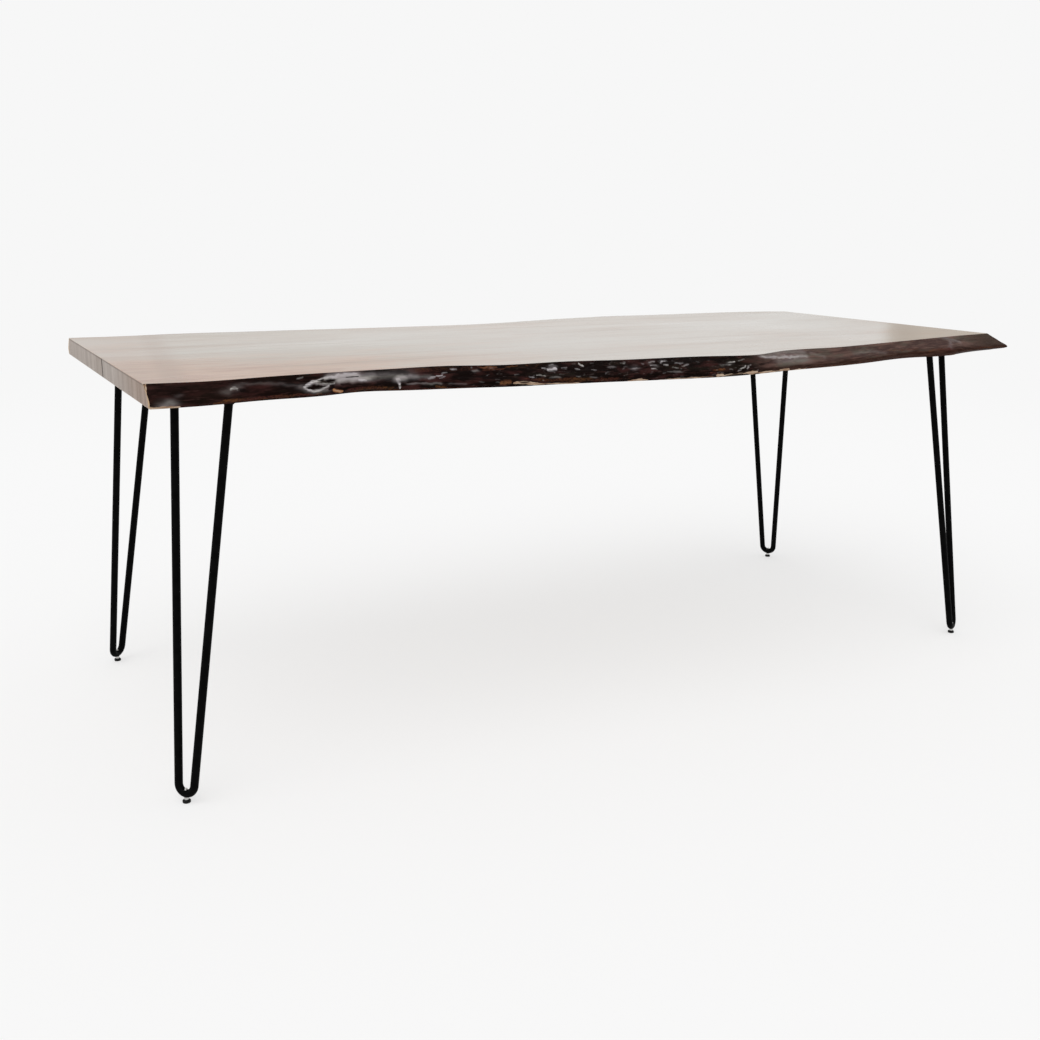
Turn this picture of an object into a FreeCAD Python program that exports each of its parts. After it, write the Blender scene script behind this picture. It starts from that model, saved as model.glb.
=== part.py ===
# Live-edge dining table: two glued hardwood boards on four bent-rod hairpin legs.
# Millimetres, +Z up, +X along the length, origin on the floor under the middle of the
# table's bounding box. The long front live edge faces -Y, where the table was pictured from.
import FreeCAD, Part
import math
import os

from FreeCAD import Vector

# Top: the two boards together
table_length = 2045.0
table_width = 931.0
table_height = 760.0
slab_thickness = 38.0
# The glue line runs along the table a little behind its middle
glue_line_share = 0.03
# The outermost line of a live edge lies this far up the board's thickness
nose_height_share = 0.26
# Halfway from the nose to the top arris the live edge swells out by this much
shoulder_swell = 3.0
# Saw cuts across the ends, as shares of the length at the front and at the back
left_cut_shares = (-0.4932, -0.5)
right_cut_shares = (0.5031, 0.4700)
# Saw cuts and drilled cuts run past what they cut by this much
cut_overrun = 6.0
saw_arris_chamfer = 1.2

# Front live edge, from the left end to the right: place along the length, then how far out
# the top arris, the nose and the under edge lie, as shares of the table's width.
# The first and last points lie in the waste that the saw removes.
front_edge_shares = (
    (-0.530, -0.377, -0.423, -0.416),
    (-0.495, -0.381, -0.425, -0.419),
    (-0.443, -0.396, -0.426, -0.418),
    (-0.400, -0.384, -0.411, -0.402),
    (-0.340, -0.373, -0.401, -0.394),
    (-0.308, -0.371, -0.390, -0.376),
    (-0.270, -0.370, -0.402, -0.393),
    (-0.220, -0.372, -0.417, -0.411),
    (-0.175, -0.404, -0.439, -0.432),
    (-0.110, -0.406, -0.455, -0.448),
    (-0.055, -0.428, -0.472, -0.465),
    (0.000, -0.439, -0.489, -0.483),
    (0.060, -0.459, -0.500, -0.495),
    (0.103, -0.480, -0.496, -0.486),
    (0.145, -0.448, -0.479, -0.470),
    (0.200, -0.437, -0.467, -0.459),
    (0.275, -0.415, -0.441, -0.433),
    (0.355, -0.386, -0.415, -0.404),
    (0.388, -0.373, -0.420, -0.412),
    (0.440, -0.354, -0.407, -0.381),
    (0.482, -0.335, -0.403, -0.361),
    (0.530, -0.333, -0.403, -0.350),
)
# Back live edge, in the same form
back_edge_shares = (
    (-0.530, 0.458, 0.480, 0.472),
    (-0.490, 0.459, 0.481, 0.473),
    (-0.450, 0.451, 0.475, 0.467),
    (-0.390, 0.458, 0.483, 0.475),
    (-0.320, 0.445, 0.471, 0.463),
    (-0.240, 0.432, 0.457, 0.449),
    (-0.160, 0.415, 0.441, 0.432),
    (-0.090, 0.404, 0.431, 0.423),
    (-0.030, 0.400, 0.425, 0.416),
    (0.030, 0.417, 0.441, 0.433),
    (0.085, 0.443, 0.468, 0.460),
    (0.145, 0.465, 0.491, 0.483),
    (0.190, 0.474, 0.500, 0.492),
    (0.260, 0.461, 0.489, 0.481),
    (0.320, 0.459, 0.484, 0.475),
    (0.380, 0.454, 0.479, 0.471),
    (0.425, 0.444, 0.470, 0.461),
    (0.470, 0.412, 0.443, 0.435),
    (0.530, 0.372, 0.408, 0.400),
)

# Loose tenons across the glue line, in mortises cut half into each board
tenon_count = 7
tenon_span_share = 0.84
tenon_length = 50.0
tenon_width = 28.0
tenon_thickness = 10.0
tenon_side_clearance = 0.1
tenon_end_clearance = 0.5

# Hairpin leg: one round bar bent at the foot, welded under a flat plate
rod_diameter = 15.0
rod_spread = 116.5
rod_splay = 107.5
bend_inner_radius = 10.0
# The weld bead round each bar end reaches this far out on the plate and down the bar,
# and its cone starts this far under the bar's skin
weld_leg = 2.0
weld_root = 0.5
plate_thickness = 3.0
plate_margin = 0.5
plate_reach = 78.0
plate_shoulder = 40.0
plate_nose_width = 68.0
plate_corner_radius = 8.0

# Wood screws that hold a plate up to the top
screw_diameter = 4.8
screw_length = 28.0
screw_tip_length = 6.0
screw_head_diameter = 9.6
screw_head_height = 3.0
screw_head_edge_radius = 1.4
screw_recess_span = 5.0
screw_recess_width = 1.1
screw_recess_depth = 1.6
screw_plate_clearance = 0.35
screw_pilot_clearance = 0.05
screw_pilot_spare = 1.0
screw_edge_distance = 13.5

# Levelling foot: a threaded stud that turns in a round plastic glide
glide_diameter = 15.0
glide_height = 6.0
glide_foot_radius = 1.2
glide_top_diameter = 10.4
glide_flank_height = 4.2
collar_diameter = 8.6
collar_height = 5.0
stud_diameter = 6.0
stud_protrusion = 2.6
stud_tip_chamfer = 0.8
stud_fit_clearance = 0.08
spot_face_depth = 0.8
spot_face_clearance = 0.6
pin_neck_diameter = 4.4
pin_head_diameter = 6.4
pin_neck_height = 1.4
pin_head_height = 2.0
pin_clearance = 0.1

# Where the four feet stand, as shares of the table's length and width, and how far each
# leg's inward lean is turned from the length of the table towards its width, in degrees
corners = {
    "front_left": {"foot_shares": (-0.4843, -0.4081), "turn": 38.8},
    "back_left": {"foot_shares": (-0.4785, 0.4250), "turn": 44.9},
    "back_right": {"foot_shares": (0.4809, 0.4411), "turn": 29.8},
    "front_right": {"foot_shares": (0.4711, -0.3748), "turn": 60.3},
}

# Sizes that follow from those above
underside = table_height - slab_thickness
glue_line = glue_line_share * table_width
rod_radius = rod_diameter / 2
bend_radius = bend_inner_radius + rod_radius
rod_top = underside - plate_thickness
seat_height = glide_height + collar_height
bend_height = seat_height - spot_face_depth + rod_radius
plate_back = rod_radius + weld_leg + plate_margin
plate_width = rod_spread + 2 * plate_back
up = Vector(0, 0, 1)


def block(low, high):
    """A rectangular block between two opposite corners."""
    size = high - low
    return Part.makeBox(size.x, size.y, size.z, low)


def prism(points, height):
    """A flat outline of straight sides, raised by a height."""
    return Part.Face(Part.makePolygon(points + [points[0]])).extrude(up * height)


def turned(profile):
    """A solid turned about the Z axis from a closed profile of (radius, height) points."""
    points = [Vector(radius, 0, height) for radius, height in profile]
    face = Part.Face(Part.makePolygon(points + [points[0]]))
    return face.revolve(Vector(0, 0, 0), up, 360)


# The two boards


def edge_levels(edge_shares, glue_side):
    """The four lines of a live edge, top to bottom: arris, shoulder, nose and under edge."""
    nose_height = underside + nose_height_share * slab_thickness
    levels = {"arris": [], "shoulder": [], "nose": [], "under": []}
    for along, arris, nose, under in edge_shares:
        x = along * table_length
        shoulder = (arris + nose) / 2 * table_width - glue_side * shoulder_swell
        levels["arris"].append(Vector(x, arris * table_width, table_height))
        levels["shoulder"].append(Vector(x, shoulder, (table_height + nose_height) / 2))
        levels["nose"].append(Vector(x, nose * table_width, nose_height))
        levels["under"].append(Vector(x, under * table_width, underside))
    return levels.values()


def edge_curve(points):
    """One line of a live edge: a smooth curve through its points."""
    curve = Part.BSplineCurve()
    curve.interpolate(points)
    return curve.toShape()


def flitch(edge_shares, glue_side):
    """A plank with its live edge on, longer and wider than the board cut from it."""
    sections = []
    for points in edge_levels(edge_shares, glue_side):
        live = edge_curve(points)
        start = points[0]
        end = points[-1]
        inner = glue_line + glue_side * cut_overrun
        corner_end = Vector(end.x, inner, end.z)
        corner_start = Vector(start.x, inner, start.z)
        sections.append(Part.Wire([
            live,
            Part.makeLine(end, corner_end),
            Part.makeLine(corner_end, corner_start),
            Part.makeLine(corner_start, start),
        ]))
    return Part.makeLoft(sections, True, True)


def saw_line(cut_shares, y):
    """Where a slanting end cut crosses a line at y."""
    front, back = cut_shares
    across = (y + table_width / 2) / table_width
    return (front + (back - front) * across) * table_length


def sawn_block(near, far):
    """What the saw leaves between two lines along the table: both end cuts and the glue line."""
    outline = [
        Vector(saw_line(left_cut_shares, near), near, underside),
        Vector(saw_line(right_cut_shares, near), near, underside),
        Vector(saw_line(right_cut_shares, far), far, underside),
        Vector(saw_line(left_cut_shares, far), far, underside),
    ]
    return prism(outline, slab_thickness)


def ease_saw_arrises(board):
    """Take the sharp top and bottom arrises off the two sawn ends."""
    sharp = []
    for edge in board.Edges:
        ends = [vertex.Point for vertex in edge.Vertexes]
        if len(ends) != 2:
            continue
        run = ends[1] - ends[0]
        lies_level = abs(run.z) < saw_arris_chamfer
        on_face = min(abs(ends[0].z - table_height), abs(ends[0].z - underside)) < saw_arris_chamfer
        runs_across = abs(run.y) > 2 * abs(run.x) and run.Length > slab_thickness
        if lies_level and on_face and runs_across:
            sharp.append(edge)
    return board.makeChamfer(saw_arris_chamfer, sharp)


def tenon_centres():
    """Places of the loose tenons along the glue line."""
    span = tenon_span_share * table_length
    step = span / (tenon_count - 1)
    return [Vector(-span / 2 + step * index, glue_line, underside + slab_thickness / 2)
            for index in range(tenon_count)]


def tenon_shape(centre, side_clearance, end_clearance):
    """A flat tenon with rounded edges, lying across the glue line."""
    thickness = tenon_thickness + 2 * side_clearance
    width = tenon_width + 2 * side_clearance
    length = tenon_length + 2 * end_clearance
    flat = (width - thickness) / 2
    near = centre - Vector(0, length / 2, 0)
    shape = block(near - Vector(flat, 0, thickness / 2),
                  near + Vector(flat, length, thickness / 2))
    for side in (-1, 1):
        round_edge = Part.makeCylinder(thickness / 2, length, near + Vector(side * flat, 0, 0),
                                       Vector(0, 1, 0))
        shape = shape.fuse(round_edge)
    return shape.removeSplitter()


def make_board(edge_shares, glue_side, far):
    """A board of the top, sawn to length, jointed along the glue line and mortised."""
    near_line, far_line = sorted((glue_line, far))
    board = flitch(edge_shares, glue_side).common(sawn_block(near_line, far_line))
    board = ease_saw_arrises(board)
    mortises = [tenon_shape(centre, tenon_side_clearance, tenon_end_clearance)
                for centre in tenon_centres()]
    return board.cut(Part.makeCompound(mortises))


# A hairpin leg, drawn with its foot on the Z axis and its lean towards +X


def bar_path():
    """The centre line of the bent bar: straight, round the bend, and straight again."""
    foot = Vector(0, 0, bend_height)
    plate_middle = Vector(rod_splay, 0, rod_top)
    lean = (plate_middle - foot).normalize()
    side = Vector(0, 1, 0)
    centre = foot + lean * bend_radius
    rise = (plate_middle - centre).Length
    half_spread = rod_spread / 2
    flare = (math.acos(bend_radius / math.hypot(half_spread, rise))
             - math.atan2(rise, half_spread))
    points = {}
    for sign in (-1, 1):
        away = side * math.sin(flare) * sign + lean * math.cos(flare)
        tangent = centre + (side * math.cos(flare) * sign - lean * math.sin(flare)) * bend_radius
        top = plate_middle + side * half_spread * sign
        points[sign] = (top, tangent, away)
    return points, foot


def leg_bar():
    """The bent bar with its two weld beads, cut level under the plate."""
    points, foot = bar_path()
    pieces = []
    for sign in (-1, 1):
        top, tangent, away = points[sign]
        straight = (top - tangent).Length
        pieces.append(Part.makeCylinder(rod_radius, straight + rod_diameter, tangent, away))
        bead_foot = top - away * (weld_leg + weld_root)
        pieces.append(Part.makeCone(rod_radius - weld_root, rod_radius + 2 * weld_leg,
                                    2 * weld_leg + weld_root, bead_foot, away))
    bend = Part.Arc(points[-1][1], foot, points[1][1]).toShape()
    mouth = Part.Wire(Part.makeCircle(rod_radius, points[-1][1], points[-1][2]))
    pieces.append(Part.Wire([bend]).makePipe(Part.Face(mouth)))
    bar = pieces[0].multiFuse(pieces[1:])
    reach = rod_splay + plate_width
    room = block(Vector(-reach, -reach, 0), Vector(reach, reach, rod_top))
    bar = bar.common(room)
    stud_hole = Part.makeCylinder(stud_diameter / 2 + stud_fit_clearance,
                                  2 * rod_diameter, Vector(0, 0, seat_height))
    spot_face = Part.makeCylinder(collar_diameter / 2 + spot_face_clearance, rod_diameter,
                                  Vector(0, 0, seat_height - rod_diameter))
    return bar.cut(stud_hole).cut(spot_face)


def screw_places():
    """The five screws of a plate, from the middle of the two bar ends."""
    outer = plate_width / 2 - screw_edge_distance
    inner = plate_nose_width / 2 - screw_edge_distance
    shoulder = plate_shoulder - screw_edge_distance
    tip = plate_reach - screw_edge_distance
    return [(0, 0), (shoulder, -outer), (shoulder, outer), (tip, -inner), (tip, inner)]


def leg_plate():
    """The flat mounting plate, with its corners rounded and its screw holes drilled."""
    half_width = plate_width / 2
    half_nose = plate_nose_width / 2
    outline = [(-plate_back, -half_width), (plate_shoulder, -half_width),
               (plate_reach, -half_nose), (plate_reach, half_nose),
               (plate_shoulder, half_width), (-plate_back, half_width)]
    plate = prism([Vector(rod_splay + x, y, rod_top) for x, y in outline], plate_thickness)
    uprights = [edge for edge in plate.Edges if edge.BoundBox.ZLength > plate_thickness / 2]
    plate = plate.makeFillet(plate_corner_radius, uprights)
    hole_radius = screw_diameter / 2 + screw_plate_clearance
    for x, y in screw_places():
        plate = plate.cut(Part.makeCylinder(hole_radius, plate_thickness + 2 * cut_overrun,
                                            Vector(rod_splay + x, y, rod_top - cut_overrun)))
    return plate


def leg_screw(x, y):
    """A pan-head wood screw standing up into the board from under the plate."""
    radius = screw_diameter / 2
    shank = screw_length - screw_tip_length
    screw = turned([(0, 0), (radius, 0), (radius, shank), (0, screw_length)])
    head = Part.makeCylinder(screw_head_diameter / 2, screw_head_height,
                             Vector(0, 0, -screw_head_height))
    rim = [edge for edge in head.Edges if edge.BoundBox.ZMax < -screw_head_height / 2]
    head = head.makeFillet(screw_head_edge_radius, rim)
    half_span = screw_recess_span / 2
    half_width = screw_recess_width / 2
    floor = -screw_head_height + screw_recess_depth
    mouth = -screw_head_height - cut_overrun
    for half_x, half_y in ((half_span, half_width), (half_width, half_span)):
        head = head.cut(block(Vector(-half_x, -half_y, mouth), Vector(half_x, half_y, floor)))
    screw = screw.fuse(head)
    screw.translate(Vector(rod_splay + x, y, rod_top))
    return screw


def pilot_hole(x, y):
    """The hole in the board that a screw goes up into."""
    depth = screw_length - plate_thickness + screw_pilot_spare
    hole = Part.makeCylinder(screw_diameter / 2 + screw_pilot_clearance, depth + cut_overrun)
    hole.translate(Vector(rod_splay + x, y, underside - cut_overrun))
    return hole


# The levelling foot, with its axis on the Z axis and its glide on the floor


def foot_stud():
    """The stud: pin head in the glide, collar against the bar, thread up through the bar."""
    neck = pin_neck_diameter / 2
    head = pin_head_diameter / 2
    collar = collar_diameter / 2
    thread = stud_diameter / 2
    head_bottom = glide_height - pin_neck_height - pin_head_height
    head_top = glide_height - pin_neck_height
    tip = seat_height - spot_face_depth + rod_diameter + stud_protrusion
    return turned([
        (0, head_bottom), (head, head_bottom), (head, head_top), (neck, head_top),
        (neck, glide_height), (collar, glide_height), (collar, seat_height),
        (thread, seat_height), (thread, tip - stud_tip_chamfer),
        (thread - stud_tip_chamfer, tip), (0, tip),
    ])


def foot_glide():
    """The round glide: flat foot, rounded rim, coned flank and the socket for the pin."""
    outer = glide_diameter / 2
    top = glide_top_diameter / 2
    neck = pin_neck_diameter / 2 + pin_clearance
    head = pin_head_diameter / 2 + pin_clearance
    head_bottom = glide_height - pin_neck_height - pin_head_height - pin_clearance
    head_top = glide_height - pin_neck_height + pin_clearance
    glide = turned([
        (0, 0), (outer, 0), (outer, glide_flank_height), (top, glide_height), (0, glide_height),
    ])
    rim = [edge for edge in glide.Edges
           if edge.BoundBox.ZMax < glide_flank_height / 2 and edge.BoundBox.XMax > top]
    glide = glide.makeFillet(glide_foot_radius, rim)
    socket = turned([
        (0, head_bottom), (head, head_bottom), (head, head_top), (neck, head_top),
        (neck, glide_height + cut_overrun), (0, glide_height + cut_overrun),
    ])
    return glide.cut(socket)


# Each corner, placed and turned


def at_corner(shape, name):
    """Turn a leg's piece to its lean and stand it on its foot's place."""
    along, across = corners[name]["foot_shares"]
    turn = corners[name]["turn"]
    to_middle_x = -1 if along > 0 else 1
    to_middle_y = -1 if across > 0 else 1
    heading = math.degrees(math.atan2(to_middle_y * math.sin(math.radians(turn)),
                                      to_middle_x * math.cos(math.radians(turn))))
    placed = shape.copy()
    placed.rotate(Vector(0, 0, 0), up, heading)
    placed.translate(Vector(along * table_length, across * table_width, 0))
    return placed


def corner_pieces(name):
    """The five kinds of piece that make one leg and its levelling foot."""
    screws = Part.makeCompound([leg_screw(x, y) for x, y in screw_places()])
    pieces = {
        "leg_rod": leg_bar(),
        "leg_plate": leg_plate(),
        "leg_screws": screws,
        "foot_stud": foot_stud(),
        "foot_glide": foot_glide(),
    }
    return {name + "_" + kind: at_corner(shape, name) for kind, shape in pieces.items()}


def make_table():
    """Every piece of the table by name."""
    front = make_board(front_edge_shares, 1, -table_width)
    back = make_board(back_edge_shares, -1, table_width)
    pilots = Part.makeCompound([pilot_hole(x, y) for x, y in screw_places()])
    for name in corners:
        holes = at_corner(pilots, name)
        if name.startswith("front"):
            front = front.cut(holes)
        else:
            back = back.cut(holes)
    pieces = {
        "front_board": front,
        "back_board": back,
        "glue_line_tenons": Part.makeCompound([tenon_shape(centre, 0, 0)
                                               for centre in tenon_centres()]),
    }
    for name in corners:
        pieces.update(corner_pieces(name))
    return pieces


os.makedirs("parts", exist_ok=True)
for piece_name, piece in make_table().items():
    piece.exportStep("parts/" + piece_name + ".step")
    box = piece.optimalBoundingBox()
    print(piece_name, "solids", len(piece.Solids), "valid", piece.isValid(),
          "x %.1f %.1f" % (box.XMin, box.XMax), "y %.1f %.1f" % (box.YMin, box.YMax),
          "z %.1f %.1f" % (box.ZMin, box.ZMax), "volume %.0f" % piece.Volume)
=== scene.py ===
# %% [markdown]
# A dining table with a live edge top on hairpin legs. The CAD model gives every piece its place
# and size. This lesson dresses it: the two boards are drawn again with the relief of a real
# live edge, the bars are bent again with a rounder section, the levelling studs get their
# thread, weld beads go round the ends of the bars, and each material is written as nodes.
# The first step brings the CAD model in.

# %% Load the frame
import math

import bpy
import numpy as np
from mathutils import Matrix, Vector
from mathutils.bvhtree import BVHTree


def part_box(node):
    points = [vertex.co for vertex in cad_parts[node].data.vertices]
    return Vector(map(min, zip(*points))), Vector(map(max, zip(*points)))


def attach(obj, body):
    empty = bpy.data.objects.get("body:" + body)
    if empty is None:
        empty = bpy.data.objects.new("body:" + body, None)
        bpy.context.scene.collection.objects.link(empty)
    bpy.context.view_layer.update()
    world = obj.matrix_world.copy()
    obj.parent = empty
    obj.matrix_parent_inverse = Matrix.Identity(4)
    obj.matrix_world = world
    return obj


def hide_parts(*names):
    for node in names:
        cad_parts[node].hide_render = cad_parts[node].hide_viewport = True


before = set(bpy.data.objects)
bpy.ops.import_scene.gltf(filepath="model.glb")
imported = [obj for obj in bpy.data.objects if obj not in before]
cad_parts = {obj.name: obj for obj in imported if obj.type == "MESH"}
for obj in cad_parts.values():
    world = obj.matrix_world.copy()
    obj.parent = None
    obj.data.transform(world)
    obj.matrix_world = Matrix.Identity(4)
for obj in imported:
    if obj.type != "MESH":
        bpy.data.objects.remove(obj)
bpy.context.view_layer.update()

# %% [markdown]
# The camera stands in front of the table's left end, a little higher than the top, and looks
# across it to the right. It is given the way a photographer would say it: where it stands,
# which way it faces, how far it tips down, how far it leans, and its lens. The three turns,
# applied in that order, set the camera.

# %% The camera
scene = bpy.context.scene


def new_object(name, data):
    """An object that holds this camera, lamp or mesh, put in the scene."""
    thing = bpy.data.objects.new(name, data)
    scene.collection.objects.link(thing)
    return thing


def full_turn(steps):
    """Angles round a full turn, in even steps."""
    return np.linspace(0, 2 * math.pi, steps, endpoint=False)


camera_place = (-1.37925, -2.39876, 1.05162)
camera_heading, camera_tip, camera_lean = (math.radians(angle) for angle in (27.871, -14.7104, 0.5429))
camera_data = bpy.data.cameras.new("camera")
camera_data.sensor_width = 36.0
camera_data.lens = 41.3552
camera = new_object("camera", camera_data)
camera.matrix_world = (
    Matrix.Translation(camera_place)
    @ Matrix.Rotation(-camera_heading, 4, "Z")
    @ Matrix.Rotation(math.pi / 2 + camera_tip, 4, "X")
    @ Matrix.Rotation(camera_lean, 4, "Z")
)
scene.camera = camera
print("camera faces", [round(value, 3) for value in camera.matrix_world.to_3x3() @ Vector((0, 0, -1))])

# %% [markdown]
# Materials are written as sums. Shade wraps one socket, and plus, minus and times on it add
# Math nodes, also with the plain number on the left, so that 1 - mask works. Colours are
# mixed by mix(), since a Math node would turn them grey. Every other node comes from node(),
# which sets the node's own settings first and then its sockets.

# %% A socket that can be added and multiplied
class Shade:
    """A socket of a material's nodes. Without a socket it stands for the tree itself."""

    def __init__(self, tree, socket=None):
        self.tree, self.socket = tree, socket

    def node(self, kind, settings=None, inputs=None, output=0):
        """Add a node: its settings first, then a value or a link for each named socket."""
        made = self.tree.nodes.new("ShaderNode" + kind)
        for name, value in (settings or {}).items():
            setattr(made, name, value)
        for name, value in (inputs or {}).items():
            if isinstance(value, Shade):
                self.tree.links.new(value.socket, made.inputs[name])
            else:
                made.inputs[name].default_value = value
        return Shade(self.tree, made.outputs[output] if made.outputs else None)

    def maths(self, operation, *others):
        """A Math node on this value and the others."""
        return self.node("Math", {"operation": operation}, dict(enumerate((self, *others))))

    def __add__(self, other):
        return self.maths("ADD", other)

    def __sub__(self, other):
        return self.maths("SUBTRACT", other)

    def __mul__(self, other):
        return self.maths("MULTIPLY", other)

    def __rsub__(self, other):
        return self * -1 + other

    __radd__, __rmul__ = __add__, __mul__

    def above(self, low, high):
        """0 below low, 1 above high, and a soft step between."""
        return self.node("MapRange", {"interpolation_type": "SMOOTHSTEP"},
                         {"Value": self, "From Min": low, "From Max": high})

    def mix(self, one, other):
        """This mask between two colours."""
        ends = [(*end, 1.0) if isinstance(end, tuple) else end for end in (one, other)]
        return self.node("Mix", {"data_type": "RGBA"}, {0: self, 6: ends[0], 7: ends[1]}, 2)

    def stretched(self, *scales):
        """These coordinates, times one number for each axis."""
        return self.node("VectorMath", {"operation": "MULTIPLY"}, {0: self, 1: scales})

    def axes(self):
        """The x, y and z of these coordinates."""
        return [self.node("SeparateXYZ", {}, {0: self}, axis) for axis in range(3)]

    def noise(self, scale=1.0, detail=2.0, rough=0.5, warp=0.0):
        """Soft noise from 0 to 1 over these coordinates."""
        return self.node("TexNoise", {}, {"Vector": self, "Scale": scale, "Detail": detail,
                                          "Roughness": rough, "Distortion": warp})


def new_finish(name):
    """A new material with an empty tree. Returns the material, its tree and the point shaded."""
    material = bpy.data.materials.new(name)
    material.use_nodes = True
    material.node_tree.nodes.clear()
    tree = Shade(material.node_tree)
    return material, tree, tree.node("TexCoord", output="Object")


def finish_with(tree, **sockets):
    """End a material in one Principled shader. An underscore in a name stands for a space."""
    inputs = {name.replace("_", " "): value for name, value in sockets.items()}
    shader = tree.node("BsdfPrincipled", {}, inputs)
    tree.node("OutputMaterial", {}, {"Surface": shader})


print("shade maths ready")

# %% [markdown]
# The ground of the photograph is white, without a horizon. A floor that shines a little by
# itself, and is lit for the rest, takes the soft shadow under the table. Further out it only
# shines, with the strength that the camera sees in the world, so no edge shows.

# %% The floor
ground_white = 0.93
floor_reach, floor_sides = 60.0, 96
lit_within, unlit_beyond, lit_share = 2.2, 6.0, 0.38
white = (1, 1, 1, 1)
scene.view_settings.view_transform = "Standard"

floor_material, tree, point = new_finish("floor_paper")
distance = point.node("VectorMath", {"operation": "LENGTH"}, {0: point}, "Value")
lit_part = (1 - distance.above(lit_within, unlit_beyond)) * lit_share
lit = tree.node("BsdfDiffuse", {}, {"Color": white})
shine = tree.node("Emission", {}, {"Color": white, "Strength": ground_white})
ground = tree.node("MixShader", {}, {0: lit_part, 1: shine, 2: lit})
tree.node("OutputMaterial", {}, {"Surface": ground})

angles = full_turn(floor_sides)
floor_rim = [(floor_reach * math.cos(angle), floor_reach * math.sin(angle), 0.0) for angle in angles]
floor_mesh = bpy.data.meshes.new("floor")
floor_mesh.from_pydata(floor_rim, [], [tuple(range(floor_sides))])
floor_mesh.materials.append(floor_material)
floor = new_object("floor", floor_mesh)
print("floor reaches", floor_reach, "m")

# %% [markdown]
# The light is that of a bright room. The world's colour has two strengths: the one that the
# camera and reflections see, and a lower one that lights the object. One broad lamp from above
# gives the light a side, and its wide angle keeps the shadow soft.

# %% The world and the lamp
sky_light = 0.72
lamp_strength, lamp_angle = 0.95, math.radians(60)
lamp_tilt = (math.radians(20), math.radians(-26), 0)

world = bpy.data.worlds.new("studio")
world.use_nodes = True
world.node_tree.nodes.clear()
scene.world = world
tree = Shade(world.node_tree)
ray_kinds = ("Is Camera Ray", "Is Glossy Ray", "Is Transmission Ray")
camera_ray, glossy_ray, clear_ray = (tree.node("LightPath", output=kind) for kind in ray_kinds)
seen = camera_ray.maths("MAXIMUM", glossy_ray).maths("MAXIMUM", clear_ray)
sky_strength = seen * (ground_white - sky_light) + sky_light
sky = tree.node("Background", {}, {"Color": white, "Strength": sky_strength})
tree.node("OutputWorld", {}, {"Surface": sky})

lamp_data = bpy.data.lights.new("soft_lamp", "SUN")
lamp_data.energy = lamp_strength
lamp_data.angle = lamp_angle
lamp = new_object("soft_lamp", lamp_data)
lamp.rotation_euler = lamp_tilt
print("world", sky_light, "lamp", lamp_strength)

# %% [markdown]
# A live edge is the outside of the tree, kept as it grew. The CAD board holds its main form in
# four lines: the top arris, a shoulder, the nose and the under edge. Rays cast at the board
# find these lines again, station by station along the table, and a small blur takes out the
# flats of the CAD mesh. The saw cuts across the ends slant, so each station is a slanting line
# between them, and u runs from 0 at the left cut to 1 at the right one.

# %% Measure a board
top_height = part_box("front_board")[1].z
under_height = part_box("front_board")[0].z
thickness = top_height - under_height
glue_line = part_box("front_board")[1].y
# A face of a saw cut looks along the table, lies near its end, and is no sliver
square_on, near_an_end, sliver_area = 0.97, 0.94, 5e-5
# Rays start outside the board, this far from its middle, and stay a little off its top and
# its underside. Off the saw cuts they stay by a share of the length.
outside, probe_margin, cut_margin = 0.6, 2e-4, 0.001
shoulder_drop_share, nose_share = 0.37, 0.26
even_count, blur_steps = 930, 6


def cut_line(node, side):
    """The flat saw cut at one end of a board: slope and start of x along y."""
    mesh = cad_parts[node].data
    facing = [face for face in mesh.polygons if face.normal.x * side > square_on]
    cut = [face for face in facing if face.center.x * side > near_an_end and face.area > sliver_area]
    on_cut = sorted({v for face in cut for v in face.vertices})
    places = np.array([mesh.vertices[v].co[:2] for v in on_cut])
    return np.polyfit(places[:, 1], places[:, 0], 1)


cut_lines = [cut_line("front_board", side) for side in (-1, 1)]


def along(u, y):
    """The x of station u at y."""
    left, right = (np.polyval(line, y) for line in cut_lines)
    return left + u * (right - left)


def blurred(values, reach):
    """Each row of values, blurred along its last axis by a bell of that many steps."""
    steps = np.arange(-3 * reach, 3 * reach + 1)
    bell = np.exp(-0.5 * (steps / reach) ** 2)
    edge = 6 * reach
    padded = np.pad(values, ((0, 0), (edge, edge)), mode="reflect", reflect_type="odd")
    rows = [np.convolve(row, bell / bell.sum(), "same")[edge:-edge] for row in padded]
    return np.array(rows)


def edge_lines(node, side, stations):
    """The y of a live edge at four heights, top to bottom, for each station."""
    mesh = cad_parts[node].data
    tree = BVHTree.FromPolygons([v.co for v in mesh.vertices], [face.vertices for face in mesh.polygons])
    heights = np.array([top_height - probe_margin, top_height - shoulder_drop_share * thickness,
                        under_height + nose_share * thickness, under_height + probe_margin])
    even = np.linspace(0, 1, even_count)
    lines = np.zeros((len(heights), even_count))
    for row, height in enumerate(heights):
        for column, u in enumerate(np.clip(even, cut_margin, 1 - cut_margin)):
            start = Vector((along(u, side * outside), side * outside, height))
            end = Vector((along(u, glue_line), glue_line, height))
            hit = tree.ray_cast(start, (end - start).normalized())[0]
            lines[row, column] = hit.y
    return heights, np.array([np.interp(stations, even, line) for line in blurred(lines, blur_steps)])


print("cut lines", [tuple(line.round(4)) for line in cut_lines])

# %% [markdown]
# Each board is one closed loft. A ring goes round the board's section at every station: along
# the underside, round the lower edge, up the live edge, round the arris and back over the top
# to the glue line. The corners are short Bezier arcs. Rings close to the saw cuts shrink a
# little, which rounds the sawn arrises and leaves a fine groove where the boards meet.

# %% Rings round a board
# About where both live edges lie, from the middle of the table
edge_y = 0.4
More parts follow.
